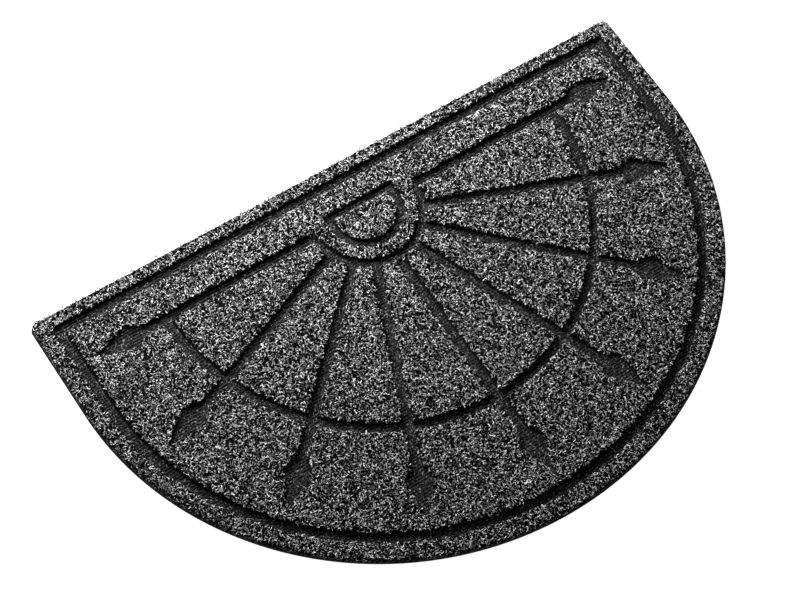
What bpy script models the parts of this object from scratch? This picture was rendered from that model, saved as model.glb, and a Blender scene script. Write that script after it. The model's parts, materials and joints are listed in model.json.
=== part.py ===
"""Half-round doormat: a moulded pile face with a fanlight pattern, on a thin rubber backing.

Metres, +Z up. The mat lies flat with its underside at Z = 0, its straight edge towards
+Y and the foot of its arc towards -Y. The origin is under the middle of its box.
"""
import math

import bmesh
import bpy

# Outline: a straight edge, two short square sides and half an ellipse
MAT_WIDTH = 0.9875
MAT_DEPTH = 0.6155
SIDE_LENGTH = 0.1515
ARC_STEPS = 80
CORNER_RADIUS = 0.010
CORNER_STEPS = 4

# Thickness
BACKING_THICK = 0.0018
PLY_GAP = 0.0003
FACE_THICK = 0.0075
FACE_INSET = 0.0010

# Rim of the face, rolled down: how far in from its edge, how high over its underside
RIM_ROLL = (
    (0.0, 0.0),
    (0.0, 0.0036),
    (0.0006, 0.0054),
    (0.0020, 0.0067),
    (0.0048, FACE_THICK),
)

# Grooves: all with the same slope of wall, and each kind a hair deeper than the next
BORDER_DEPTH = 0.0058
RAY_DEPTH = 0.0056
RING_DEPTH = 0.0054
FLARE_DEPTH = 0.0048
WALL_SLOPE = 0.4
ABOVE_FACE = 0.0010
BORDER_WIDTH = 0.0160
RAY_WIDTH = 0.0155
HUB_WIDTH = 0.0138

# Border groove, by its middle line
BORDER_FROM_ARC = 0.0335
BORDER_FROM_EDGE = 0.0266

# Fan: rings about one centre, and rays that start there or a little below
FAN_BELOW_EDGE = 0.0864
RAY_COUNT = 9
RAY_ROOT_BELOW_FAN = 0.0061
RAY_EVEN_RADIUS = 0.18
MID_ARC_ACROSS = 0.328
MID_ARC_DOWN = 0.3385
HUB_RING_RADIUS = 0.084
ISLAND_RADIUS = 0.0524
ISLAND_TOP_ABOVE_FAN = 0.015
DEGREES_PER_STEP = 5.0

# Lance-head flare at the end of each ray
FLARE_HALF_WIDTH = 0.0215
FLARE_TIP_TO_WIDEST = 0.060
FLARE_WIDEST_TO_NECK = 0.023
FLARE_TIP_FROM_BORDER = 0.0122

# Places that follow from the sizes above
EDGE_Y = MAT_DEPTH / 2
FOOT_Y = -MAT_DEPTH / 2
ARC_Y = EDGE_Y - SIDE_LENGTH
HALF_WIDTH = MAT_WIDTH / 2
ARC_DROP = ARC_Y - FOOT_Y
FAN_Y = EDGE_Y - FAN_BELOW_EDGE
FACE_BOTTOM = BACKING_THICK + PLY_GAP
FACE_TOP = FACE_BOTTOM + FACE_THICK

# Colours
PILE_CHARCOAL = (0.065, 0.065, 0.067, 1.0)
RUBBER_BLACK = (0.012, 0.012, 0.013, 1.0)

TINY = 1e-6
FLAT_ANGLE = math.radians(0.05)


def clear_scene():
    for obj in list(bpy.data.objects):
        bpy.data.objects.remove(obj, do_unlink=True)


def new_collection(name):
    collection = bpy.data.collections.new(name)
    bpy.context.scene.collection.children.link(collection)
    return collection


def material(name, colour, roughness):
    mat = bpy.data.materials.new(name)
    mat.use_nodes = True
    shader = mat.node_tree.nodes["Principled BSDF"]
    shader.inputs["Base Color"].default_value = colour
    shader.inputs["Roughness"].default_value = roughness
    shader.inputs["Metallic"].default_value = 0.0
    mat.diffuse_color = colour
    return mat


def arc_points(inset):
    """The arc moved inwards by inset, from its right end round to its left end."""
    half_width = HALF_WIDTH - inset
    drop = ARC_DROP - inset
    points = []
    for step in range(ARC_STEPS + 1):
        angle = -math.pi * step / ARC_STEPS
        points.append((half_width * math.cos(angle), ARC_Y + drop * math.sin(angle)))
    return points


def half_round(arc_inset, edge_inset):
    """Closed half-round line with square corners at its straight edge."""
    top = EDGE_Y - edge_inset
    side = HALF_WIDTH - arc_inset
    return arc_points(arc_inset) + [(-side, top), (side, top)]


def mat_outline(inset):
    """Closed outline of the mat, with its two corners slightly rounded."""
    centre_x = HALF_WIDTH - inset - CORNER_RADIUS
    centre_y = EDGE_Y - inset - CORNER_RADIUS
    corner = []
    for step in range(CORNER_STEPS + 1):
        angle = math.pi / 2 * step / CORNER_STEPS
        across = centre_x + CORNER_RADIUS * math.sin(angle)
        up = centre_y + CORNER_RADIUS * math.cos(angle)
        corner.append((across, up))
    left = [(-x, y) for x, y in reversed(corner)]
    return arc_points(inset) + left + corner


def ray_lines():
    """Root height and direction of each ray, from the right side round to the left.

    Level rays start at the fan's centre. The others start below it and spread evenly further out.
    """
    lines = []
    for index in range(RAY_COUNT):
        even = -math.pi * index / (RAY_COUNT - 1)
        is_level = abs(math.sin(even)) < TINY
        drop = 0.0 if is_level else RAY_ROOT_BELOW_FAN
        across = RAY_EVEN_RADIUS * math.cos(even)
        up = RAY_EVEN_RADIUS * math.sin(even) + drop
        lines.append((FAN_Y - drop, math.atan2(up, across)))
    return lines


def ray_point(ray, radius, sideways=0.0):
    """Plan point on a ray at a distance from its root, then moved sideways."""
    root_y, angle = ray
    x = radius * math.cos(angle) - sideways * math.sin(angle)
    y = root_y + radius * math.sin(angle) + sideways * math.cos(angle)
    return (x, y)


def fan_arc(across, down):
    """Half ellipse below the fan's centre, from right to left."""
    steps = round(180 / DEGREES_PER_STEP)
    points = []
    for step in range(steps + 1):
        angle = -math.pi * step / steps
        points.append((across * math.cos(angle), FAN_Y + down * math.sin(angle)))
    return points


def reach_to_arc(ray):
    """Distance from a ray's root to the mat's arc along the ray, by halving."""
    near = 0.0
    far = MAT_WIDTH
    while far - near > TINY:
        radius = (near + far) / 2
        x, y = ray_point(ray, radius)
        across = x / HALF_WIDTH
        down = min(y - ARC_Y, 0.0) / ARC_DROP
        if math.hypot(across, down) < 1.0:
            near = radius
        else:
            far = radius
    return near


def flat_curve(name, points, cyclic):
    """A 2D curve of straight segments through the plan points."""
    data = bpy.data.curves.new(name, "CURVE")
    data.dimensions = "2D"
    spline = data.splines.new("POLY")
    spline.points.add(len(points) - 1)
    for place, (x, y) in zip(spline.points, points):
        place.co = (x, y, 0.0, 1.0)
    spline.use_cyclic_u = cyclic
    return bpy.data.objects.new(name, data)


def mesh_from_curve(curve, collection, merge_flat=False):
    """Replace a curve by a welded mesh object, with its flat caps merged if asked."""
    collection.objects.link(curve)
    name = curve.name
    graph = bpy.context.evaluated_depsgraph_get()
    mesh = bpy.data.meshes.new_from_object(curve.evaluated_get(graph))
    place = curve.matrix_world.copy()
    bpy.data.objects.remove(curve, do_unlink=True)
    body = bmesh.new()
    body.from_mesh(mesh)
    bmesh.ops.remove_doubles(body, verts=body.verts, dist=TINY)
    if merge_flat:
        bmesh.ops.dissolve_limit(body, angle_limit=FLAT_ANGLE, verts=body.verts, edges=body.edges)
    bmesh.ops.recalc_face_normals(body, faces=body.faces)
    body.to_mesh(mesh)
    body.free()
    obj = bpy.data.objects.new(name, mesh)
    obj.matrix_world = place
    collection.objects.link(obj)
    return obj


def slab(name, points, low, high, collection):
    """Flat solid of an outline between two heights."""
    curve = flat_curve(name, points, True)
    curve.data.fill_mode = "BOTH"
    curve.data.extrude = (high - low) / 2
    curve.location.z = (low + high) / 2
    bpy.context.view_layer.update()
    return mesh_from_curve(curve, collection, merge_flat=True)


def groove_section(width, depth):
    """Closed cross-section of a groove: a flat floor and two sloping walls, past the face."""
    half_floor = width / 2 - WALL_SLOPE * depth
    half_top = width / 2 + WALL_SLOPE * ABOVE_FACE
    corners = [
        (-half_floor, -depth),
        (half_floor, -depth),
        (half_top, ABOVE_FACE),
        (-half_top, ABOVE_FACE),
    ]
    return flat_curve("groove_section", corners, True)


def groove(name, points, cyclic, width, depth, collection):
    """Cutter swept along a plan line on the face."""
    section = groove_section(width, depth)
    collection.objects.link(section)
    curve = flat_curve(name, points, cyclic)
    curve.data.fill_mode = "NONE"
    curve.data.bevel_mode = "OBJECT"
    curve.data.bevel_object = section
    curve.data.use_fill_caps = not cyclic
    curve.location.z = FACE_TOP
    bpy.context.view_layer.update()
    cutter = mesh_from_curve(curve, collection)
    bpy.data.objects.remove(section, do_unlink=True)
    return cutter


def flare_radii(ray):
    """Distances along a ray to the neck, the widest place and the tip of its flare."""
    border_inner = reach_to_arc(ray) - BORDER_FROM_ARC - BORDER_WIDTH / 2
    tip = border_inner - FLARE_TIP_FROM_BORDER
    widest = tip - FLARE_TIP_TO_WIDEST
    return widest - FLARE_WIDEST_TO_NECK, widest, tip


def flare(name, ray, collection):
    """Cutter for a lance head at a ray's end, narrowed at its floor like the grooves."""
    neck, widest, tip = flare_radii(ray)
    half_neck = RAY_WIDTH / 2 - WALL_SLOPE * FLARE_DEPTH
    outline = [
        ray_point(ray, neck, -half_neck),
        ray_point(ray, widest, -FLARE_HALF_WIDTH),
        ray_point(ray, tip),
        ray_point(ray, widest, FLARE_HALF_WIDTH),
        ray_point(ray, neck, half_neck),
    ]
    cutter = slab(name, outline, FACE_TOP - FLARE_DEPTH, FACE_TOP + ABOVE_FACE, collection)
    floor_share = 1 - WALL_SLOPE * FLARE_DEPTH / FLARE_HALF_WIDTH
    middle_x, middle_y = ray_point(ray, widest)
    for vertex in cutter.data.vertices:
        if vertex.co.z < 0:
            vertex.co.x = middle_x + (vertex.co.x - middle_x) * floor_share
            vertex.co.y = middle_y + (vertex.co.y - middle_y) * floor_share
    return cutter


def groove_network(collection):
    """Every groove and flare of the pattern, as cutters."""
    border = half_round(BORDER_FROM_ARC, BORDER_FROM_EDGE)
    groove("border_groove", border, True, BORDER_WIDTH, BORDER_DEPTH, collection)
    mid_arc = fan_arc(MID_ARC_ACROSS, MID_ARC_DOWN)
    groove("mid_arc_groove", mid_arc, False, RAY_WIDTH, RING_DEPTH, collection)
    hub_ring = fan_arc(HUB_RING_RADIUS, HUB_RING_RADIUS)
    groove("hub_ring_groove", hub_ring, False, HUB_WIDTH, RING_DEPTH, collection)
    top = FAN_Y + ISLAND_TOP_ABOVE_FAN
    island = fan_arc(ISLAND_RADIUS, ISLAND_RADIUS) + [(-ISLAND_RADIUS, top), (ISLAND_RADIUS, top)]
    groove("island_groove", island, True, HUB_WIDTH, RING_DEPTH, collection)
    for index, ray in enumerate(ray_lines()):
        widest = flare_radii(ray)[1]
        line = [ray_point(ray, HUB_RING_RADIUS), ray_point(ray, widest)]
        groove(f"ray_groove_{index}", line, False, RAY_WIDTH, RAY_DEPTH, collection)
        flare(f"ray_flare_{index}", ray, collection)
    for cutter in collection.objects:
        cutter.hide_render = True
        cutter.display_type = "WIRE"


def rolled_slab(name, collection):
    """Slab of the face, lofted up and inwards over its rolled rim."""
    body = bmesh.new()
    rings = []
    for inset, rise in RIM_ROLL:
        outline = mat_outline(FACE_INSET + inset)
        rings.append([body.verts.new((x, y, FACE_BOTTOM + rise)) for x, y in outline])
    for lower, upper in zip(rings, rings[1:]):
        for index in range(len(lower)):
            body.faces.new((lower[index - 1], lower[index], upper[index], upper[index - 1]))
    body.faces.new(rings[0])
    body.faces.new(rings[-1])
    bmesh.ops.recalc_face_normals(body, faces=body.faces)
    mesh = bpy.data.meshes.new(name)
    body.to_mesh(mesh)
    body.free()
    obj = bpy.data.objects.new(name, mesh)
    collection.objects.link(obj)
    return obj


def pile_face(mat_parts, cutters, pile):
    face = rolled_slab("pile_face", mat_parts)
    cut = face.modifiers.new("grooves", "BOOLEAN")
    cut.operation = "DIFFERENCE"
    cut.operand_type = "COLLECTION"
    cut.collection = cutters
    cut.solver = "EXACT"
    face.data.materials.append(pile)
    return face


def backing(mat_parts, rubber):
    sheet = slab("backing", mat_outline(0.0), 0.0, BACKING_THICK, mat_parts)
    sheet.data.materials.append(rubber)
    return sheet


def main():
    clear_scene()
    mat_parts = new_collection("half_round_doormat")
    cutters = new_collection("groove_cutters")
    pile = material("pile", PILE_CHARCOAL, 0.95)
    rubber = material("backing", RUBBER_BLACK, 0.7)
    groove_network(cutters)
    pile_face(mat_parts, cutters, pile)
    backing(mat_parts, rubber)


main()
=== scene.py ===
"""Looks of the half-round doormat: curly heathered pile, its pressed ground, a rubber backing.

Metres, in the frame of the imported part: straight edge towards +Y, foot of the arc towards -Y,
underside at Z = 0.
"""
import json
import math

import bmesh
import bpy
import numpy as np
from mathutils import Matrix, Vector, geometry, kdtree, noise
from mathutils.bvhtree import BVHTree

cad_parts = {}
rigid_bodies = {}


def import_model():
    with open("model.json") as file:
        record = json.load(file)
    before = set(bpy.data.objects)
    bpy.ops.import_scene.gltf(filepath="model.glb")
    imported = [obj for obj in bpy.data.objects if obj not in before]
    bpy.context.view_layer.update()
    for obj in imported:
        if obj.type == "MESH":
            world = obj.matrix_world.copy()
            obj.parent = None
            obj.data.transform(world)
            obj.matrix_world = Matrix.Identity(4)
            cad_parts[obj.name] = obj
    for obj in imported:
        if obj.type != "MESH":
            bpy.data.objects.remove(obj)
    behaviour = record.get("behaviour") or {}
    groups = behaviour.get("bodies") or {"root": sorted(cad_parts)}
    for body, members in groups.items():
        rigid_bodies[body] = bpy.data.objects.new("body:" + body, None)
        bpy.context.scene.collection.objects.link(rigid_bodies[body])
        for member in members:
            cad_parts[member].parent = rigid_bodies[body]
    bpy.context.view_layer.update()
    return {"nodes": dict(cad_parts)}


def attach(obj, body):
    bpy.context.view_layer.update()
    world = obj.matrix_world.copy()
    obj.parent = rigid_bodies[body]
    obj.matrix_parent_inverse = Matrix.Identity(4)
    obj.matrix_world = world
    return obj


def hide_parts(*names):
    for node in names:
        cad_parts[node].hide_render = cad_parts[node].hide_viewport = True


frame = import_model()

# Sizes of the mat, as in the part
MAT_WIDTH = 0.9875
MAT_DEPTH = 0.6155
SIDE_LENGTH = 0.1515
CORNER_RADIUS = 0.010
BACKING_THICK = 0.0018
FACE_INSET = 0.0010
FACE_BOTTOM = 0.0021
RIM_INSETS = (0.0, 0.0006, 0.0020, 0.0048)
RIM_RISES = (0.0036, 0.0054, 0.0067, 0.0075)
SHALLOWEST_GROOVE = 0.0048
HALF_WIDTH = MAT_WIDTH / 2
EDGE_Y = MAT_DEPTH / 2
ARC_Y = EDGE_Y - SIDE_LENGTH
ARC_DROP = ARC_Y + MAT_DEPTH / 2

# Ground under the curls
CREASE_ANGLE = math.radians(6)
UPWARD = 0.05
CREASE_STEP = 0.0045
GROUND_STEP = 0.0048
GROUND_SINK = 0.0013
SOFTEN_RADIUS = 0.0005
SOFTEN_TIMES = 6
UNEVEN = 0.00035
UNEVEN_PITCH = 0.018
EDGE_SWELL = 0.0022
EDGE_ROLL = 0.014
SIDE_PRESS = 1.6
SIDE_PRESS_REACH = 0.002
LOWEST_GROUND = FACE_BOTTOM + 0.0004
GROUND_SEED = 7
GROUND_JITTER = 0.18
GROUND_CLEARANCE = 0.45
GROUND_SHARP = math.radians(40)
TINY = 1e-6


# Outline

def mat_outline(inset, arc_steps, corner_steps):
    """Closed outline of the mat moved inwards, as plan points."""
    angles = -np.pi * np.linspace(0, 1, arc_steps + 1)
    arc_x = (HALF_WIDTH - inset) * np.cos(angles)
    arc_y = ARC_Y + (ARC_DROP - inset) * np.sin(angles)
    turn = np.linspace(0, np.pi / 2, corner_steps + 1)
    corner_x = HALF_WIDTH - inset - CORNER_RADIUS * (1 - np.sin(turn))
    corner_y = EDGE_Y - inset - CORNER_RADIUS * (1 - np.cos(turn))
    x = np.concatenate([arc_x, -corner_x[::-1], corner_x])
    y = np.concatenate([arc_y, corner_y[::-1], corner_y])
    return np.column_stack([x, y])


def inset_from_round(x, y):
    """How far a plan point lies inside the sides and the arc, nearly, in metres."""
    down = np.maximum(ARC_Y - y, 0.0) / ARC_DROP
    across = np.abs(x) / HALF_WIDTH
    reach = np.hypot(across, down)
    from_arc = (1 - reach) * np.hypot(x, np.minimum(y - ARC_Y, 0.0)) / np.maximum(reach, TINY)
    from_side = HALF_WIDTH - np.abs(x)
    return np.where(y < ARC_Y, from_arc, from_side)


def inset_of(x, y):
    """How far a plan point lies inside the whole outline, nearly, in metres."""
    return np.minimum(inset_from_round(x, y), EDGE_Y - y)


# Pressed ground

def merged_copy(node):
    """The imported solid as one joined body, which is only read."""
    body = bmesh.new()
    body.from_mesh(node.data)
    bmesh.ops.remove_doubles(body, verts=body.verts, dist=TINY)
    body.normal_update()
    return body


def crease_lines(body):
    """Plan lines where the top of the face bends: rim bands, groove edges and groove floors."""
    lines = []
    for edge in body.edges:
        up = [face for face in edge.link_faces if face.normal.z > UPWARD]
        if not up:
            continue
        bends = len(up) == 1 or up[0].normal.angle(up[1].normal) > CREASE_ANGLE
        if bends:
            lines.append((edge.verts[0].co.copy(), edge.verts[1].co.copy()))
    return lines


def split_lines(lines, step):
    """Plan points and index pairs along the lines, no further apart than step."""
    index_of = {}
    points = []
    pairs = []

    def index(point):
        key = (round(point.x, 6), round(point.y, 6))
        if key not in index_of:
            index_of[key] = len(points)
            points.append(Vector(key))
        return index_of[key]

    for start, end in lines:
        count = max(1, math.ceil((end - start).to_2d().length / step))
        chain = [index(start.lerp(end, part / count)) for part in range(count + 1)]
        pairs += [(a, b) for a, b in zip(chain, chain[1:]) if a != b]
    return points, pairs


def filler_points(taken, step, rng):
    """Staggered plan points over the mat, clear of the points already taken."""
    near = kdtree.KDTree(len(taken))
    for index, point in enumerate(taken):
        near.insert((point.x, point.y, 0.0), index)
    near.balance()
    row_step = step * math.sqrt(3) / 2
    points = []
    for row in range(int(MAT_DEPTH / row_step) + 1):
        y = -MAT_DEPTH / 2 + row * row_step
        for column in range(int(MAT_WIDTH / step) + 1):
            x = -HALF_WIDTH + (column + 0.5 * (row % 2)) * step
            spot = Vector((x, y)) + Vector(rng.uniform(-GROUND_JITTER, GROUND_JITTER, 2) * step)
            if inset_of(spot.x, spot.y) < FACE_INSET + 0.5 * step:
                continue
            if near.find((spot.x, spot.y, 0.0))[2] > GROUND_CLEARANCE * step:
                points.append(spot)
    return points


def soft_height(tree, x, y):
    """Height of the face around a plan point, averaged so that its edges go soft."""
    total = 0.0
    count = 0
    for step in range(SOFTEN_TIMES + 1):
        angle = 2 * math.pi * step / SOFTEN_TIMES
        reach = SOFTEN_RADIUS if step else 0.0
        start = Vector((x + reach * math.cos(angle), y + reach * math.sin(angle), 1.0))
        hit = tree.ray_cast(start, Vector((0, 0, -1)))[0]
        if hit is not None:
            total += hit.z
            count += 1
    return total / count if count else FACE_BOTTOM + RIM_RISES[0]


def settled(faces, kept):
    """The first faces as they are, and the others in an order that is the same in every run."""
    turned = []
    for face in faces[kept:]:
        first = face.index(min(face))
        turned.append(face[first:] + face[:first])
    return faces[:kept] + sorted(turned)


def pile_ground(node):
    """The pressed body of the pile: a fine closed skin over the face, with soft grooves."""
    rng = np.random.default_rng(GROUND_SEED)
    solid = merged_copy(node)
    tree = BVHTree.FromBMesh(solid)
    points, pairs = split_lines(crease_lines(solid), CREASE_STEP)
    solid.free()
    points += filler_points(points, GROUND_STEP, rng)
    flat, _, triangles, *_ = geometry.delaunay_2d_cdt(points, pairs, [], 0, TINY)

    plan = np.array([(p.x, p.y) for p in flat])
    inset = inset_of(plan[:, 0], plan[:, 1]) - FACE_INSET
    height = np.array([soft_height(tree, x, y) for x, y in plan])
    full = FACE_BOTTOM + np.interp(inset, RIM_INSETS, RIM_RISES)
    room = inset_from_round(plan[:, 0], plan[:, 1]) - FACE_INSET
    flattened = SIDE_PRESS - room / SIDE_PRESS_REACH
    sunken = (full - height) / SHALLOWEST_GROOVE
    pressed = np.clip(np.maximum(sunken, flattened), 0.0, 1.0)
    bumps = np.array([noise.noise(Vector((x, y, 0)) / UNEVEN_PITCH) for x, y in plan])
    height = height + UNEVEN * bumps - GROUND_SINK
    height = np.maximum(height, LOWEST_GROUND)
    swell = np.clip((plan[:, 1] - EDGE_Y + EDGE_ROLL) / EDGE_ROLL, 0.0, 1.0)
    plan[:, 1] += EDGE_SWELL * swell

    body = bmesh.new()
    top = [body.verts.new((x, y, z)) for (x, y), z in zip(plan, height)]
    for corners in triangles:
        body.faces.new([top[i] for i in corners])
    bmesh.ops.recalc_face_normals(body, faces=body.faces)
    if sum(face.normal.z for face in body.faces) < 0:
        bmesh.ops.reverse_faces(body, faces=body.faces)
    rim = [edge for edge in body.edges if edge.is_boundary]
    low = bmesh.ops.extrude_edge_only(body, edges=rim)["geom"]
    for item in low:
        if isinstance(item, bmesh.types.BMVert):
            item.co.z = FACE_BOTTOM
            item.co.y = min(item.co.y, EDGE_Y - FACE_INSET)
    foot = [edge for edge in body.edges if edge.is_boundary]
    bmesh.ops.holes_fill(body, edges=foot, sides=0)
    bmesh.ops.recalc_face_normals(body, faces=body.faces)
    body.verts.index_update()
    places = [tuple(vertex.co) for vertex in body.verts]
    faces = [tuple(vertex.index for vertex in face.verts) for face in body.faces]
    body.free()
    mesh = bpy.data.meshes.new("pile_ground")
    mesh.from_pydata(places, [], settled(faces, len(triangles)))

    press = mesh.attributes.new("pressed", "FLOAT", "POINT")
    values = np.ones(len(mesh.vertices))
    values[: len(pressed)] = pressed
    press.data.foreach_set("value", values)
    mesh.shade_smooth()
    mesh.set_sharp_from_angle(angle=GROUND_SHARP)
    obj = bpy.data.objects.new("pile_ground", mesh)
    bpy.context.scene.collection.objects.link(obj)
    return obj


# Curls

CURL_FORMS = 24
CURL_FORM_SEED = 5
CURL_SLIM = 0.19
CURL_SEGMENTS = 3
CURL_WALK = 42
CURL_TURN = 4.2
CURL_WIGGLE = 0.8
CURL_ARCH = (0.06, 0.20)
CURL_LEAN = 0.6
CURL_TWIST = 0.9
CURL_FOOT = 0.55
CURL_TIP = 0.04
LOWEST_CURL = 0.0022
STANDING_FROM = 0.66
STANDING_BY = 0.36
GROOVE_STARTS = 0.4
LIT_WALL = 0.3
STEEPEST = 0.5
STEEPEST_LIT = 0.15
ROW_PITCH = 0.0043
ROW_STRAY = 4.0
ROW_STRAY_SCALE = 25.0
ROW_HOLLOW = 0.9
ROW_BARE = 0.5
SHAGGY_EDGE = 0.0060
SHAG = 1.6
PRESSED_CALM = -0.8
# painted shade: curls are darkened by how deeply their ground is pressed, for the shade in the
# grooves
GROOVE_PAINTED_SHADE = -0.12
# seeds of the curls' random draws
RISE_SEED = 11
TILT_X_SEED = 12
TILT_Y_SEED = 13
TURN_SEED = 14
FORM_SEED = 15
LENGTH_SEED = 16
SHADE_SEED = 17
ROW_SEED = 18
CLEAR_SEED = 19


def curl_form(index, rng, slim, collection):
    """One curl of yarn, a unit long: a flat strand on a wandering arc, with its ends down."""
    turn = rng.uniform(-CURL_TURN, CURL_TURN)
    wiggle = rng.uniform(-CURL_WIGGLE, CURL_WIGGLE)
    phase = rng.uniform(0, 2 * math.pi)
    arch = rng.uniform(*CURL_ARCH)
    lean = rng.uniform(-CURL_LEAN, CURL_LEAN)
    twist = rng.uniform(-CURL_TWIST, CURL_TWIST)
    t = np.linspace(0, 1, CURL_WALK + 1)
    heading = turn * (t - 0.5) + wiggle * np.sin(2 * math.pi * t + phase)
    x = np.concatenate([[0], np.cumsum(np.cos(heading[1:]))]) / CURL_WALK
    y = np.concatenate([[0], np.cumsum(np.sin(heading[1:]))]) / CURL_WALK
    x -= x.mean()
    y -= y.mean()
    z = arch * (np.sin(math.pi * t) - CURL_FOOT)
    vertices = []
    for step in range(CURL_SEGMENTS + 1):
        at = step * CURL_WALK // CURL_SEGMENTS
        roll = lean + twist * (t[at] - 0.5)
        from_tip = min(max(t[at], CURL_TIP), 1 - CURL_TIP)
        half = slim / 4 * (1 + math.sqrt(math.sin(math.pi * from_tip)))
        side = np.array([-math.sin(heading[at]), math.cos(heading[at]), 0.0]) * math.cos(roll)
        side[2] = math.sin(roll)
        middle = np.array([x[at], y[at], z[at]])
        vertices += [middle - half * side, middle + half * side]
    faces = [(2 * i, 2 * i + 2, 2 * i + 3, 2 * i + 1) for i in range(CURL_SEGMENTS)]
    mesh = bpy.data.meshes.new(f"curl_form_{index}")
    mesh.from_pydata([tuple(v) for v in vertices], [], [f[::-1] for f in faces])
    along = mesh.attributes.new("along", "FLOAT", "POINT")
    along.data.foreach_set("value", np.repeat(np.linspace(0, 1, CURL_SEGMENTS + 1), 2))
    mesh.shade_smooth()
    obj = bpy.data.objects.new(mesh.name, mesh)
    collection.objects.link(obj)
    return obj


def curl_forms(slim, seed):
    """The curls that the tree picks from, in a collection of their own."""
    collection = bpy.data.collections.new("curl_forms")
    bpy.context.scene.collection.children.link(collection)
    rng = np.random.default_rng(seed)
    for index in range(CURL_FORMS):
        curl_form(index, rng, slim, collection)
    return collection


def maths(tree, operation, *values):
    """A Math node in a tree, fed with numbers and with the outputs of other nodes."""
    made = tree.nodes.new("ShaderNodeMath")
    made.operation = operation
    for socket, value in zip(made.inputs, values):
        if isinstance(value, bpy.types.NodeSocket):
            tree.links.new(value, socket)
        else:
            socket.default_value = value
    return made.outputs[0]


class Tree:
    """A small hand for wiring geometry nodes."""

    def __init__(self, name, inputs):
        self.group = bpy.data.node_groups.new(name, "GeometryNodeTree")
        face = self.group.interface
        face.new_socket("Geometry", in_out="INPUT", socket_type="NodeSocketGeometry")
        for label, kind, value in inputs:
            socket = face.new_socket(label, in_out="INPUT", socket_type=kind)
            if value is not None:
                socket.default_value = value
        face.new_socket("Geometry", in_out="OUTPUT", socket_type="NodeSocketGeometry")
        self.given = self.node("NodeGroupInput")

    def node(self, kind, settings=None, **links):
        made = self.group.nodes.new(kind)
        for name, value in (settings or {}).items():
            setattr(made, name, value)
        for name, value in links.items():
            self.feed(made, name.replace("_", " "), value)
        return made

    def feed(self, node, name, value):
        socket = self.find(node.inputs, name)
        if isinstance(value, bpy.types.NodeSocket):
            self.group.links.new(value, socket)
        else:
            socket.default_value = value

    def find(self, sockets, name):
        usable = [s for s in sockets if s.name == name and s.enabled]
        return usable[0]

    def out(self, node, name):
        return self.find(node.outputs, name)

    def attribute(self, name):
        made = self.node("GeometryNodeInputNamedAttribute", {"data_type": "FLOAT"}, Name=name)
        return self.out(made, "Attribute")

    def random(self, low, high, seed, kind="FLOAT"):
        made = self.node(
            "FunctionNodeRandomValue", {"data_type": kind}, Min=low, Max=high, Seed=seed
        )
        return self.out(made, "Value")

    def ease(self, value, start, end):
        made = self.node("ShaderNodeMapRange", {"interpolation_type": "SMOOTHSTEP"})
        self.group.links.new(value, made.inputs[0])
        for socket, number in zip(made.inputs[1:5], (start, end, 0.0, 1.0)):
            socket.default_value = number
        return made.outputs[0]

    def blend(self, share, first, second):
        made = self.node("ShaderNodeMix", Factor=share, A=first, B=second)
        return self.out(made, "Result")

    def parts(self, vector):
        return self.node("ShaderNodeSeparateXYZ", Vector=vector)

    def maths(self, operation, *values):
        return maths(self.group, operation, *values)


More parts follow.
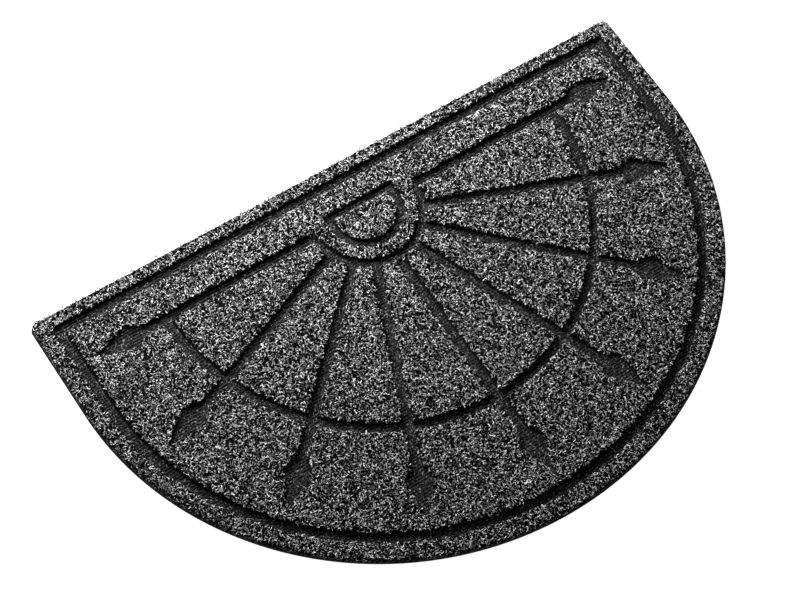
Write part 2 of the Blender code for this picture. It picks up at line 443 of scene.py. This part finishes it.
def curl_tree():
    """Curls strewn over the ground: thick on the pile, thin in the grooves, each turned freely."""
    tree = Tree(
        "strew_curls",
        [
            ("Curls per Area", "NodeSocketFloat", 50000.0),
            ("Share on Pile", "NodeSocketFloat", 1.0),
            ("Share in Grooves", "NodeSocketFloat", 0.2),
            ("Shortest", "NodeSocketFloat", 0.007),
            ("Longest", "NodeSocketFloat", 0.011),
            ("Turn", "NodeSocketFloat", 3.2),
            ("Tilt", "NodeSocketFloat", 0.4),
            ("Rise", "NodeSocketFloat", 0.001),
            ("Rows", "NodeSocketFloat", 0.0),
            ("Clear of Grooves", "NodeSocketFloat", 0.0),
            ("Darkest", "NodeSocketFloat", 0.0),
            ("Lightest", "NodeSocketFloat", 1.0),
            ("Forms", "NodeSocketCollection", None),
            ("Yarn", "NodeSocketMaterial", None),
            ("Seed", "NodeSocketInt", 1),
        ],
    )
    given = tree.given.outputs
    seed = given["Seed"]
    pressed = tree.attribute("pressed")
    standing = tree.ease(pressed, STANDING_FROM, STANDING_BY)
    share = tree.blend(standing, given["Share in Grooves"], given["Share on Pile"])
    density = tree.maths("MULTIPLY", share, given["Curls per Area"])
    facing = tree.parts(tree.node("GeometryNodeInputNormal").outputs[0])
    place = tree.parts(tree.node("GeometryNodeInputPosition").outputs[0])
    towards_edge = tree.maths("GREATER_THAN", facing.outputs[1], LIT_WALL)
    steepest = tree.blend(towards_edge, STEEPEST, STEEPEST_LIT)
    upward = tree.maths("GREATER_THAN", facing.outputs[2], steepest)
    points = tree.node(
        "GeometryNodeDistributePointsOnFaces",
        {"distribute_method": "RANDOM"},
        Mesh=given["Geometry"],
        Selection=upward,
        Density=density,
        Seed=seed,
    )
    stray = tree.node(
        "ShaderNodeTexNoise", {"noise_dimensions": "3D"}, Scale=ROW_STRAY_SCALE, Detail=0.0
    )
    strayed = tree.maths("MULTIPLY", stray.outputs[0], ROW_STRAY)
    phase = tree.maths("MULTIPLY_ADD", place.outputs[1], 2 * math.pi / ROW_PITCH, strayed)
    wave = tree.maths("COSINE", phase)
    hollow = tree.maths("MULTIPLY_ADD", wave, ROW_HOLLOW, ROW_BARE)
    missing = tree.maths("MULTIPLY", hollow, given["Rows"])
    grooves = tree.node(
        "GeometryNodeSeparateGeometry",
        {"domain": "FACE"},
        Geometry=given["Geometry"],
        Selection=tree.maths("GREATER_THAN", pressed, GROOVE_STARTS),
    )
    nearest = tree.node("GeometryNodeProximity", {"target_element": "FACES"})
    tree.group.links.new(grooves.outputs[0], nearest.inputs[0])
    by_groove = tree.maths("MULTIPLY", tree.random(0.0, 1.0, CLEAR_SEED), given["Clear of Grooves"])
    off_row = tree.maths("GREATER_THAN", missing, tree.random(0.0, 1.0, ROW_SEED))
    too_near = tree.maths("LESS_THAN", tree.out(nearest, "Distance"), by_groove)
    groove_at = tree.parts(tree.out(nearest, "Position"))
    behind = tree.maths("LESS_THAN", groove_at.outputs[1], place.outputs[1])
    at_groove = tree.maths("MULTIPLY", too_near, behind)
    thinned = tree.node(
        "GeometryNodeDeleteGeometry",
        {"domain": "POINT"},
        Geometry=tree.out(points, "Points"),
        Selection=tree.maths("MAXIMUM", off_row, at_groove),
    )
    rise = tree.random(0.0, given["Rise"], RISE_SEED)
    calm = tree.maths("MULTIPLY_ADD", pressed, PRESSED_CALM, 1.0)
    at_edge = tree.ease(place.outputs[1], EDGE_Y - SHAGGY_EDGE, EDGE_Y - FACE_INSET)
    shag = tree.maths("MULTIPLY", tree.maths("MULTIPLY", at_edge, rise), SHAG)
    lift = tree.maths("MULTIPLY_ADD", rise, calm, shag)
    offset = tree.node("ShaderNodeVectorMath", {"operation": "SCALE"})
    tree.group.links.new(tree.out(points, "Normal"), offset.inputs[0])
    tree.group.links.new(lift, offset.inputs["Scale"])
    lifted = tree.node(
        "GeometryNodeSetPosition", Geometry=thinned.outputs[0], Offset=offset.outputs[0]
    )
    tilt = tree.maths("MULTIPLY", given["Tilt"], calm)
    back = tree.maths("MULTIPLY", tilt, -1.0)
    angles = tree.node("ShaderNodeCombineXYZ")
    tree.group.links.new(tree.random(back, tilt, TILT_X_SEED), angles.inputs[0])
    tree.group.links.new(tree.random(back, tilt, TILT_Y_SEED), angles.inputs[1])
    swing = given["Turn"]
    counter_swing = tree.maths("MULTIPLY", swing, -1.0)
    tree.group.links.new(tree.random(counter_swing, swing, TURN_SEED), angles.inputs[2])
    turn = tree.node("FunctionNodeEulerToRotation", Euler=angles.outputs[0])
    turned = tree.node(
        "FunctionNodeRotateRotation",
        {"rotation_space": "LOCAL"},
        Rotation=tree.out(points, "Rotation"),
        Rotate_By=turn.outputs[0],
    )
    forms = tree.node(
        "GeometryNodeCollectionInfo",
        Collection=given["Forms"],
        Separate_Children=True,
        Reset_Children=True,
    )
    placed = tree.node(
        "GeometryNodeInstanceOnPoints",
        Points=lifted.outputs[0],
        Instance=forms.outputs[0],
        Pick_Instance=True,
        Instance_Index=tree.random(0, CURL_FORMS - 1, FORM_SEED, "INT"),
        Rotation=turned.outputs[0],
        Scale=tree.random(given["Shortest"], given["Longest"], LENGTH_SEED),
    )
    shade = tree.random(given["Darkest"], given["Lightest"], SHADE_SEED)
    # painted shade: the tone is darkened where the ground is pressed into the grooves
    painted_groove_shade = tree.maths("MULTIPLY_ADD", pressed, GROOVE_PAINTED_SHADE, 1.0)
    tone = tree.maths("MULTIPLY", shade, painted_groove_shade)
    toned = tree.node(
        "GeometryNodeStoreNamedAttribute",
        {"data_type": "FLOAT", "domain": "INSTANCE"},
        Geometry=placed.outputs[0],
        Name="tone",
        Value=tone,
    )
    loose = tree.node("GeometryNodeRealizeInstances", Geometry=toned.outputs[0])
    at = tree.parts(tree.node("GeometryNodeInputPosition").outputs[0])
    held_up = tree.node("ShaderNodeCombineXYZ")
    tree.group.links.new(at.outputs[0], held_up.inputs[0])
    tree.group.links.new(at.outputs[1], held_up.inputs[1])
    tree.group.links.new(tree.maths("MAXIMUM", at.outputs[2], LOWEST_CURL), held_up.inputs[2])
    real = tree.node(
        "GeometryNodeSetPosition", Geometry=loose.outputs[0], Position=held_up.outputs[0]
    )
    spot = tree.node("ShaderNodeCombineXYZ")
    tree.group.links.new(tree.attribute("tone"), spot.inputs[0])
    tree.group.links.new(tree.attribute("along"), spot.inputs[1])
    mapped = tree.node(
        "GeometryNodeStoreNamedAttribute",
        {"data_type": "FLOAT2", "domain": "CORNER"},
        Geometry=real.outputs[0],
        Name="OFBake",
        Value=spot.outputs[0],
    )
    dressed = tree.node(
        "GeometryNodeSetMaterial", Geometry=mapped.outputs[0], Material=given["Yarn"]
    )
    done = tree.node("NodeGroupOutput")
    tree.group.links.new(dressed.outputs[0], done.inputs[0])
    return tree.group


def strew(name, ground, group, values):
    """A plain mesh of curls strewn over the ground by the tree, with these named inputs."""
    carrier = bpy.data.objects.new(name + "_carrier", ground.data)
    bpy.context.scene.collection.objects.link(carrier)
    nodes = carrier.modifiers.new("curls", "NODES")
    nodes.node_group = group
    for item in group.interface.items_tree:
        if item.in_out == "INPUT" and item.name in values:
            nodes[item.identifier] = values[item.name]
    carrier.update_tag()
    bpy.context.view_layer.update()
    graph = bpy.context.evaluated_depsgraph_get()
    mesh = bpy.data.meshes.new_from_object(carrier.evaluated_get(graph))
    bpy.data.objects.remove(carrier, do_unlink=True)
    mesh.name = name
    for layer in ("tone", "along", "pressed"):
        if layer in mesh.attributes:
            mesh.attributes.remove(mesh.attributes[layer])
    obj = bpy.data.objects.new(name, mesh)
    bpy.context.scene.collection.objects.link(obj)
    return obj


# Materials

# radians over one metre in bands of scale 1
BAND_RADIANS = 20
FIBRE_SCALE = 620
FIBRE_DETAIL = 1
CLUMP_SCALE = 90
CLUMP_DETAIL = 1
CLUMP_SHADE = 0.50
STANDING_MIXTURE = 1.8
PRESSED_MIXTURE = 1.5
YARN_COOLNESS = 1.01
YARN_ROUGHNESS = 0.7
YARN_SHINE = 0.02
FUZZ_SCALE = 700
FUZZ_DETAIL = 3
RIB_DISTORTION = 1.2
RIB_SHARE = 0.5
RIB_BUMP = 0.8
RIB_HEIGHT = 0.0010
GROUND_ROUGHNESS = 0.9
PEBBLE_SCALE = 900
PEBBLE_DETAIL = 2
PEBBLE_BUMP = 0.35
PEBBLE_HEIGHT = 0.0003
RUBBER_ROUGHNESS = 0.55

# tone, grey
STANDING_GREYS = ((0.0, 0.001), (0.56, 0.003), (0.66, 0.03), (0.77, 0.46), (0.89, 0.98))
# painted shade: a darker copy of the standing yarn's greys, for the curls in the shaded grooves
PRESSED_GREYS_PAINTED_SHADE = ((0.0, 0.001), (0.40, 0.003), (0.58, 0.045), (0.78, 0.19), (1.0, 0.48))
# painted shade: the groove floors' own dim grey is darkened for the shade in the grooves, and the
# ground between the curls is near black for the shade deep in the pile as well as the black yarn
GROOVE_FLOOR_AND_PAINTED_SHADE_GREYS = ((0.36, 0.003), (0.70, 0.033))
GAP_YARN_AND_PAINTED_SHADE_GREYS = ((0.45, 0.003), (0.75, 0.012))
# tone, colour
RUBBER_BLACKS = ((0.0, (0.006, 0.006, 0.0065)), (1.0, (0.018, 0.018, 0.019)))


def fresh_material(name):
    """A material with its own node tree and shader."""
    mat = bpy.data.materials.new(name)
    mat.use_nodes = True
    return mat, mat.node_tree, mat.node_tree.nodes["Principled BSDF"]


def noise_on(tree, place, scale, detail):
    """Noise on the piece's own coordinates."""
    made = tree.nodes.new("ShaderNodeTexNoise")
    made.inputs["Scale"].default_value = scale
    made.inputs["Detail"].default_value = detail
    tree.links.new(place.outputs["Object"], made.inputs["Vector"])
    return made.outputs["Fac"]


def greys(stops, coolness=1.0):
    """A table of tones and greys as one of tones and colours."""
    return [(tone, (grey, grey, grey * coolness)) for tone, grey in stops]


def coloured(tree, tone, stops):
    """Colour picked by a tone, from a table of tones and colours."""
    ramp = tree.nodes.new("ShaderNodeValToRGB")
    elements = ramp.color_ramp.elements
    while len(elements) < len(stops):
        elements.new(0.5)
    for element, (position, colour) in zip(elements, stops):
        element.position = position
        element.color = (*colour, 1)
    tree.links.new(tone, ramp.inputs[0])
    return ramp.outputs[0]


def raised(tree, shader, height, strength, distance):
    """Bump on a shader."""
    bump = tree.nodes.new("ShaderNodeBump")
    bump.inputs["Strength"].default_value = strength
    bump.inputs["Distance"].default_value = distance
    tree.links.new(height, bump.inputs["Height"])
    tree.links.new(bump.outputs[0], shader.inputs["Normal"])


def yarn(name, stops, mixture):
    """Heathered yarn: u on its map is the strand's tone, v runs along the strand."""
    mat, tree, shader = fresh_material(name)
    place = tree.nodes.new("ShaderNodeUVMap")
    place.uv_map = "OFBake"
    strand = tree.nodes.new("ShaderNodeSeparateXYZ")
    tree.links.new(place.outputs[0], strand.inputs[0])
    spot = tree.nodes.new("ShaderNodeTexCoord")
    fibres = noise_on(tree, spot, FIBRE_SCALE, FIBRE_DETAIL)
    clumps = noise_on(tree, spot, CLUMP_SCALE, CLUMP_DETAIL)
    mixed = maths(tree, "MULTIPLY_ADD", fibres, mixture, strand.outputs[0])
    patchy = maths(tree, "MULTIPLY_ADD", clumps, CLUMP_SHADE, mixed)
    centred = maths(tree, "SUBTRACT", patchy, (mixture + CLUMP_SHADE) / 2)
    colour = coloured(tree, centred, greys(stops, YARN_COOLNESS))
    tree.links.new(colour, shader.inputs["Base Color"])
    shader.inputs["Roughness"].default_value = YARN_ROUGHNESS
    shader.inputs["Specular IOR Level"].default_value = YARN_SHINE
    return mat


def pressed_pile():
    """Dark ground: near black between the curls, painted shade deep in the pile over black yarn,
    and flattened rows in the pressed grooves, their own dim grey darkened with painted shade.
    """
    mat, tree, shader = fresh_material("pressed_pile")
    place = tree.nodes.new("ShaderNodeTexCoord")
    fuzz = noise_on(tree, place, FUZZ_SCALE, FUZZ_DETAIL)
    rows = tree.nodes.new("ShaderNodeTexWave")
    rows.wave_type = "BANDS"
    rows.bands_direction = "Y"
    rows.inputs["Scale"].default_value = 2 * math.pi / (BAND_RADIANS * ROW_PITCH)
    rows.inputs["Distortion"].default_value = RIB_DISTORTION
    rows.inputs["Detail"].default_value = 1
    rows.inputs["Detail Scale"].default_value = 1
    tree.links.new(place.outputs["Object"], rows.inputs["Vector"])
    both = tree.nodes.new("ShaderNodeMix")
    both.inputs["Factor"].default_value = RIB_SHARE
    tree.links.new(fuzz, both.inputs["A"])
    tree.links.new(rows.outputs["Fac"], both.inputs["B"])
    pressed = tree.nodes.new("ShaderNodeAttribute")
    pressed.attribute_name = "pressed"
    # mixes the painted shade between the curls with the groove floors' grey and painted shade, by
    # how pressed the ground is
    tint = tree.nodes.new("ShaderNodeMix")
    tint.data_type = "RGBA"
    tree.links.new(pressed.outputs["Fac"], tint.inputs["Factor"])
    tree.links.new(coloured(tree, fuzz, greys(GAP_YARN_AND_PAINTED_SHADE_GREYS)), tint.inputs["A"])
    tree.links.new(coloured(tree, both.outputs["Result"], greys(GROOVE_FLOOR_AND_PAINTED_SHADE_GREYS)), tint.inputs["B"])
    tree.links.new(tint.outputs["Result"], shader.inputs["Base Color"])
    raised(tree, shader, both.outputs["Result"], RIB_BUMP, RIB_HEIGHT)
    shader.inputs["Roughness"].default_value = GROUND_ROUGHNESS
    shader.inputs["Specular IOR Level"].default_value = 0.0
    return mat


def rubber():
    """Moulded black rubber with a fine pebbled skin."""
    mat, tree, shader = fresh_material("backing_rubber")
    place = tree.nodes.new("ShaderNodeTexCoord")
    pebble = noise_on(tree, place, PEBBLE_SCALE, PEBBLE_DETAIL)
    tree.links.new(coloured(tree, pebble, RUBBER_BLACKS), shader.inputs["Base Color"])
    raised(tree, shader, pebble, PEBBLE_BUMP, PEBBLE_HEIGHT)
    shader.inputs["Roughness"].default_value = RUBBER_ROUGHNESS
    return mat


# Backing

LIP_ARC_STEPS = 300
LIP_CORNER_STEPS = 8
LIP_SHARP = math.radians(36)
# inset, rise
LIP = ((0.0004, 0.0), (0.0001, 0.0003), (0.0, 0.0008), (0.0002, 0.0014), (0.0007, BACKING_THICK))


def rubber_backing():
    """The rubber sheet, with a softly rounded lip and a finer outline than its solid."""
    body = bmesh.new()
    rings = []
    for inset, rise in LIP:
        outline = mat_outline(inset, LIP_ARC_STEPS, LIP_CORNER_STEPS)
        rings.append([body.verts.new((x, y, rise)) for x, y in outline])
    for lower, upper in zip(rings, rings[1:]):
        for index in range(len(lower)):
            body.faces.new((lower[index - 1], lower[index], upper[index], upper[index - 1]))
    body.faces.new(rings[0])
    body.faces.new(rings[-1])
    bmesh.ops.recalc_face_normals(body, faces=body.faces)
    mesh = bpy.data.meshes.new("rubber_backing")
    body.to_mesh(mesh)
    body.free()
    mesh.shade_smooth()
    mesh.set_sharp_from_angle(angle=LIP_SHARP)
    obj = bpy.data.objects.new("rubber_backing", mesh)
    bpy.context.scene.collection.objects.link(obj)
    return obj


# Studio

LENS = 99.265
SENSOR = 36.0
CAMERA_TARGET = Vector((-0.03675, 0.07309, 0.0))
CAMERA_DISTANCE = 3.0847
CAMERA_AZIMUTH = 0.76
CAMERA_PITCH = 0.4679
CAMERA_ROLL = -0.1905
CAMERA_REACH = 100
LIGHTS = (
    # name, place, target, width, depth, watts
    ("key_light", (-0.45, 2.35, 1.28), (0.35, 2.35, 0.0), 1.8, 1.3, 110),
    ("near_light", (-0.04, 0.95, 0.52), (0.25, 0.0, 0.0), 1.0, 0.35, 11.8),
    ("edge_light", (-0.04, 0.60, 0.38), (0.0, 0.15, 0.0), 1.0, 0.30, 4.0),
    ("fill_light", (-0.3, -1.0, 1.6), (0.0, 0.0, 0.0), 1.2, 1.2, 2.3),
)
SKY_STRENGTH = 0.045
FLOOR_SIDE = 30.0
FLOOR_HEIGHT = -0.0001
FLOOR_GREY = 0.8
FLOOR_ROUGHNESS = 0.9
FLOOR_GLOW = 0.95


def camera():
    """The photograph's camera: high over the mat's left foot, a little rolled."""
    az, pitch, roll = CAMERA_AZIMUTH, CAMERA_PITCH, CAMERA_ROLL
    flat = math.cos(pitch)
    right = Vector((math.cos(az), -math.sin(az), 0))
    up = Vector((math.sin(az) * flat, math.cos(az) * flat, math.sin(pitch)))
    back = right.cross(up)
    turned_right = math.cos(roll) * right - math.sin(roll) * up
    turned_up = math.sin(roll) * right + math.cos(roll) * up
    data = bpy.data.cameras.new("camera")
    data.lens = LENS
    data.sensor_width = SENSOR
    data.clip_end = CAMERA_REACH
    obj = bpy.data.objects.new("camera", data)
    turn = Matrix((turned_right, turned_up, back)).transposed()
    obj.matrix_world = Matrix.Translation(CAMERA_TARGET + CAMERA_DISTANCE * back) @ turn.to_4x4()
    bpy.context.scene.collection.objects.link(obj)
    bpy.context.scene.camera = obj


def area_light(name, place, target, width, depth, power):
    """A soft rectangular light, turned towards its target."""
    data = bpy.data.lights.new(name, "AREA")
    data.shape = "RECTANGLE"
    data.size = width
    data.size_y = depth
    data.energy = power
    obj = bpy.data.objects.new(name, data)
    obj.location = place
    obj.rotation_mode = "QUATERNION"
    obj.rotation_quaternion = (Vector(target) - Vector(place)).to_track_quat("-Z", "Y")
    bpy.context.scene.collection.objects.link(obj)


def studio():
    """Soft light from behind the straight edge, and a plain pale floor."""
    for row in LIGHTS:
        area_light(*row)
    world = bpy.data.worlds.new("studio")
    world.use_nodes = True
    sky = world.node_tree.nodes["Background"]
    sky.inputs["Color"].default_value = (1, 1, 1, 1)
    sky.inputs["Strength"].default_value = SKY_STRENGTH
    bpy.context.scene.world = world
    mesh = bpy.data.meshes.new("floor")
    turns = ((-1, -1), (1, -1), (1, 1), (-1, 1))
    corners = [(FLOOR_SIDE * x, FLOOR_SIDE * y, FLOOR_HEIGHT) for x, y in turns]
    mesh.from_pydata(corners, [], [(0, 1, 2, 3)])
    floor = bpy.data.objects.new("floor", mesh)
    bpy.context.scene.collection.objects.link(floor)
    mat, _, shader = fresh_material("pale_floor")
    shader.inputs["Base Color"].default_value = (FLOOR_GREY, FLOOR_GREY, FLOOR_GREY, 1)
    shader.inputs["Roughness"].default_value = FLOOR_ROUGHNESS
    shader.inputs["Emission Color"].default_value = (1, 1, 1, 1)
    shader.inputs["Emission Strength"].default_value = FLOOR_GLOW
    mesh.materials.append(mat)
    bpy.context.scene.view_settings.view_transform = "Standard"


# The mat

ANY_WAY = math.pi
CURL_COLUMNS = (
    "Curls per Area", "Share on Pile", "Share in Grooves", "Shortest", "Longest", "Turn", "Tilt",
    "Rise", "Rows", "Clear of Grooves", "Darkest", "Lightest", "Seed",
)
CURL_PIECES = (
    # name, then the columns above
    ("black_curls", 76000.0, 1.0, 0.0, 0.0045, 0.0072, ANY_WAY, 0.40,
     0.0018, 0.0, 0.0027, 0.00, 0.45, 21),
    ("charcoal_curls", 76000.0, 1.0, 0.0, 0.0045, 0.0072, ANY_WAY, 0.45,
     0.0020, 0.0, 0.0027, 0.15, 0.65, 22),
    ("grey_curls", 76000.0, 1.0, 0.0, 0.0042, 0.0068, ANY_WAY, 0.50,
     0.0024, 0.0, 0.0027, 0.40, 0.85, 23),
    ("white_curls", 70000.0, 1.0, 0.0, 0.0038, 0.0064, ANY_WAY, 0.50,
     0.0024, 0.0, 0.0027, 0.60, 1.00, 24),
    ("pressed_curls", 300000.0, 0.0, 1.0, 0.0026, 0.0048, 0.35, 0.20,
     0.0006, 0.95, 0.0, 0.30, 1.00, 25),
)


def strewn_curls(ground):
    """The five pieces of curls, each in its own shades; the curls in the grooves take a darker copy
    of the yarn, which is painted shade.
    """
    standing_yarn = yarn("heathered_yarn", STANDING_GREYS, STANDING_MIXTURE)
    pressed_yarn = yarn("pressed_yarn", PRESSED_GREYS_PAINTED_SHADE, PRESSED_MIXTURE)
    forms = curl_forms(CURL_SLIM, CURL_FORM_SEED)
    group = curl_tree()
    curls = []
    for name, *sizes in CURL_PIECES:
        values = dict(zip(CURL_COLUMNS, sizes))
        in_grooves = values["Share in Grooves"] > values["Share on Pile"]
        values["Forms"] = forms
        # painted shade: the curls in the grooves take the darker yarn
        values["Yarn"] = pressed_yarn if in_grooves else standing_yarn
        curls.append(strew(name, ground, group, values))
    for form in list(forms.objects):
        bpy.data.objects.remove(form, do_unlink=True)
    bpy.data.collections.remove(forms)
    return curls


def main():
    """Camera, studio, pile and backing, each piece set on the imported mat."""
    camera()
    studio()
    ground = pile_ground(frame["nodes"]["pile_face"])
    ground.data.materials.append(pressed_pile())
    curls = strewn_curls(ground)
    for piece in [ground] + curls:
        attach(piece, "root")
    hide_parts("pile_face")
    backing = rubber_backing()
    backing.data.materials.append(rubber())
    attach(backing, "root")
    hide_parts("backing")


main()
